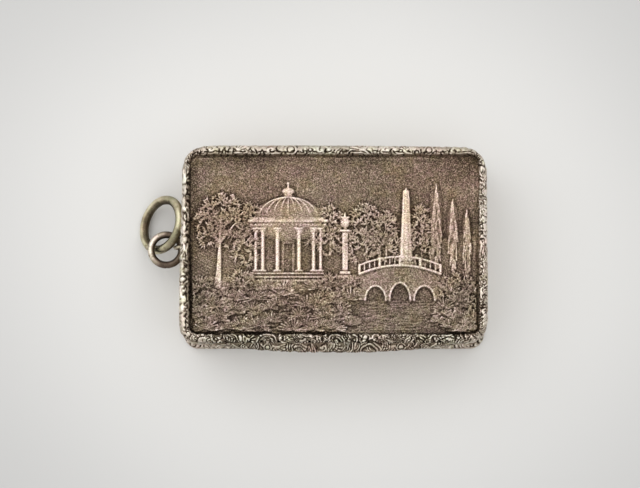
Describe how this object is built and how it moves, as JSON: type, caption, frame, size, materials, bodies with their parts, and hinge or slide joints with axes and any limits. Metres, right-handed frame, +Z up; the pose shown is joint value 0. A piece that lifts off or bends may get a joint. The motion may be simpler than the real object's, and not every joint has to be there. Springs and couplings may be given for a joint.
{
  "type": "vinaigrette",
  "caption": "Small rectangular hinged silver box with a pierced inner grille over a scented sponge, a relief lid with a cast scroll border, and linked rings on one end for a chain.",
  "frame": {"origin": "centre of the flat underside of the box, on the surface that it lies on", "axes": "+Z up towards the lid, +X along the length with the rings at -X, +Y towards the lid hinge"},
  "size_m": [0.0506, 0.0301, 0.0126],
  "materials": {
    "silver": "old sterling silver, crests worn bright, recesses tarnished dark",
    "dark_silver": "matted and chased silver with brown-grey tarnish, polished high spots",
    "gilt": "silver-gilt, soft polish",
    "ring_silver": "worn silver wire with an olive-yellow tarnish",
    "pin": "drawn silver wire",
    "sponge": "natural sponge, open pores"
  },
  "bodies": {
    "box": {"box_bottom": "silver", "box_wall": "silver", "base_border": "silver", "bezel": "gilt", "grille_seat": "gilt", "sponge": "sponge", "box_hinge_tubes": "silver", "hinge_pin": "pin", "grille_hinge_lugs": "gilt", "grille_hinge_pin": "pin", "ring_staple": "ring_silver"},
    "lid": {"lid_skirt": "silver", "lid_lining": "gilt", "lid_panel": "dark_silver", "lid_border": "silver", "thumbpiece": "silver", "lid_hinge_tubes": "silver"},
    "grille": {"grille_plate": "gilt", "grille_hinge_tube": "gilt", "grille_tab": "gilt"},
    "jump_ring": {"jump_ring": "ring_silver"},
    "suspension_ring": {"suspension_ring": "ring_silver"}
  },
  "joints": [
    {"name": "lid_hinge", "type": "hinge", "parent": "box", "child": "lid", "pos_m": [0, 0.01325, 0.00862], "axis": [-1, 0, 0], "range_deg": [0, 110]},
    {"name": "grille_hinge", "type": "hinge", "parent": "box", "child": "grille", "pos_m": [0, 0.01118, 0.00835], "axis": [-1, 0, 0], "range_deg": [0, 77.1]},
    {"name": "jump_ring_swing", "type": "hinge", "parent": "box", "child": "jump_ring", "pos_m": [-0.02213, 0.00042, 0.0045], "axis": [0, 1, 0], "range_deg": [0, 20]},
    {"name": "suspension_ring_swing", "type": "hinge", "parent": "jump_ring", "child": "suspension_ring", "pos_m": [-0.02649, -0.00012, 0.0045], "axis": [0.0872, -0.9962, 0], "range_deg": [0, 75]}
  ],
  "couplings": [
    {"joint": "grille_hinge", "follows": "lid_hinge", "ratio": 0.7}
  ]
}
